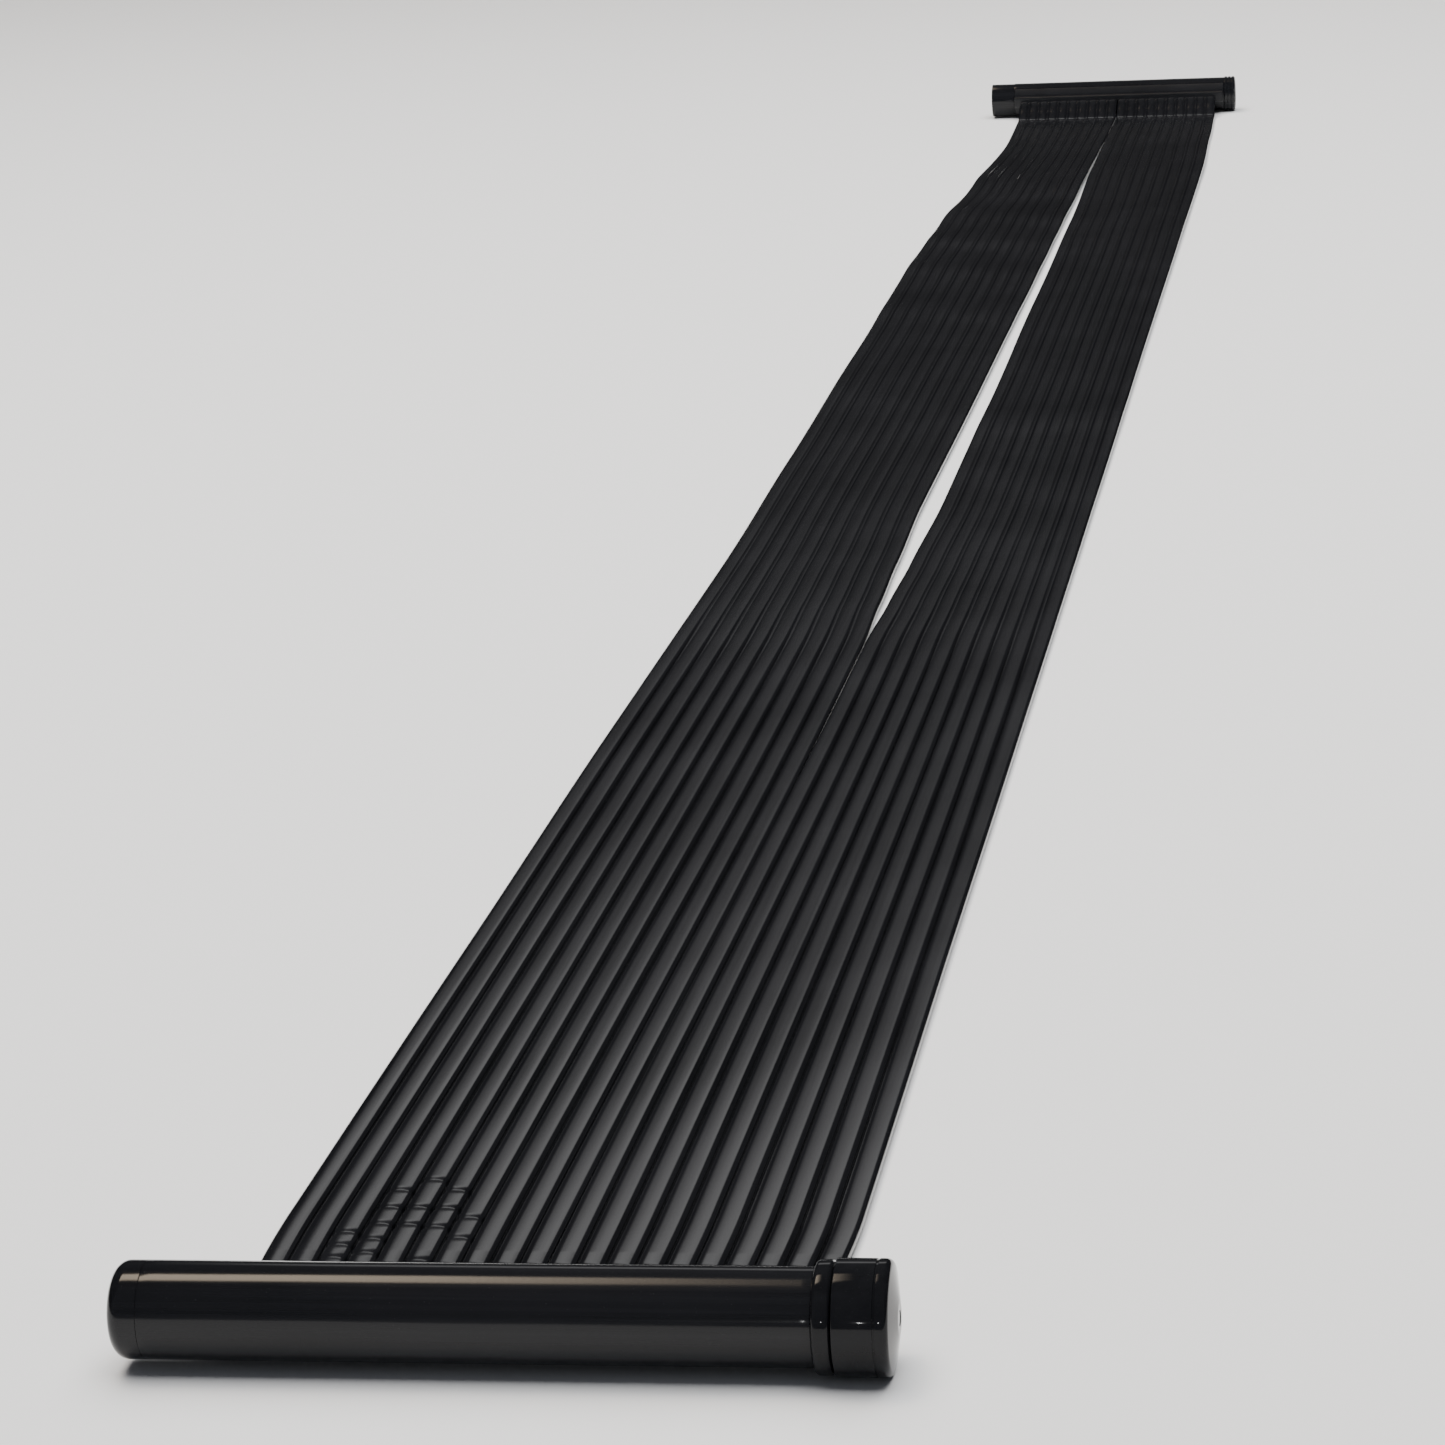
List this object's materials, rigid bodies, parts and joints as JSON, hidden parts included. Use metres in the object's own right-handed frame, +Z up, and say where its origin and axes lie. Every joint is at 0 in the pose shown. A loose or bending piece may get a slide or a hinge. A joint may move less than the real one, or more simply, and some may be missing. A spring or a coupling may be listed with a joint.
{
  "type": "roll-out solar pool heating collector",
  "caption": "Flat roll-out mat of parallel black plastic tubes in two ribbons between two header pipes, with a screw drain cap and hose spigots, for warming pool water.",
  "frame": {"origin": "on the ground, under the middle of the part's bounding box", "axes": "+X along the headers towards the drain cap's side, +Y from the front header to the rear header, +Z up"},
  "size_m": [0.4892, 6.096, 0.072],
  "materials": {
    "header_plastic": "glossy black moulded plastic",
    "rail_plastic": "satin black moulded plastic",
    "tube_plastic": "glossy black extruded plastic",
    "cap_plastic": "glossy black moulded plastic",
    "plug_plastic": "matt black moulded plastic",
    "seal_rubber": "matt black rubber"
  },
  "bodies": {
    "mat_front": {"left_ribbon_front": "tube_plastic", "right_ribbon_front": "tube_plastic"},
    "mat_rear": {"left_ribbon_rear": "tube_plastic", "right_ribbon_rear": "tube_plastic"},
    "front_header": {"front_header_pipe": "header_plastic", "front_end_dome": "header_plastic", "front_port_rail": "rail_plastic", "front_left_tails": "tube_plastic", "front_right_tails": "tube_plastic", "cap_spigot": "cap_plastic"},
    "cap_carrier": {"cap_gasket": "seal_rubber"},
    "cap": {"drain_cap": "cap_plastic"},
    "rear_header": {"rear_header_pipe": "header_plastic", "rear_port_rail": "rail_plastic", "rear_left_tails": "tube_plastic", "rear_right_tails": "tube_plastic", "inlet_spigot": "header_plastic", "outlet_spigot": "header_plastic", "divider_plug": "plug_plastic", "divider_seal": "seal_rubber"}
  },
  "joints": [
    {"name": "front_header_flex", "type": "hinge", "parent": "mat_front", "child": "front_header", "pos_m": [-0.0028, -2.86425, 0.004], "axis": [1, 0, 0], "range_deg": [-60, 60]},
    {"name": "mat_fold", "type": "hinge", "parent": "mat_front", "child": "mat_rear", "pos_m": [-0.0028, 0, 0.072], "axis": [1, 0, 0], "range_deg": [0, 160]},
    {"name": "rear_header_flex", "type": "hinge", "parent": "mat_rear", "child": "rear_header", "pos_m": [-0.0028, 2.87965, 0.004], "axis": [-1, 0, 0], "range_deg": [-60, 60]},
    {"name": "cap_travel", "type": "slide", "parent": "front_header", "child": "cap_carrier", "axis": [1, 0, 0], "range_m": [0, 0.012]},
    {"name": "cap_turn", "type": "hinge", "parent": "cap_carrier", "child": "cap", "pos_m": [0.2066, -3.012, 0.036], "axis": [1, 0, 0], "range_deg": [0, 1080]}
  ],
  "couplings": [
    {"joint": "cap_travel", "follows": "cap_turn", "m_per_rad": 0.00063662}
  ]
}
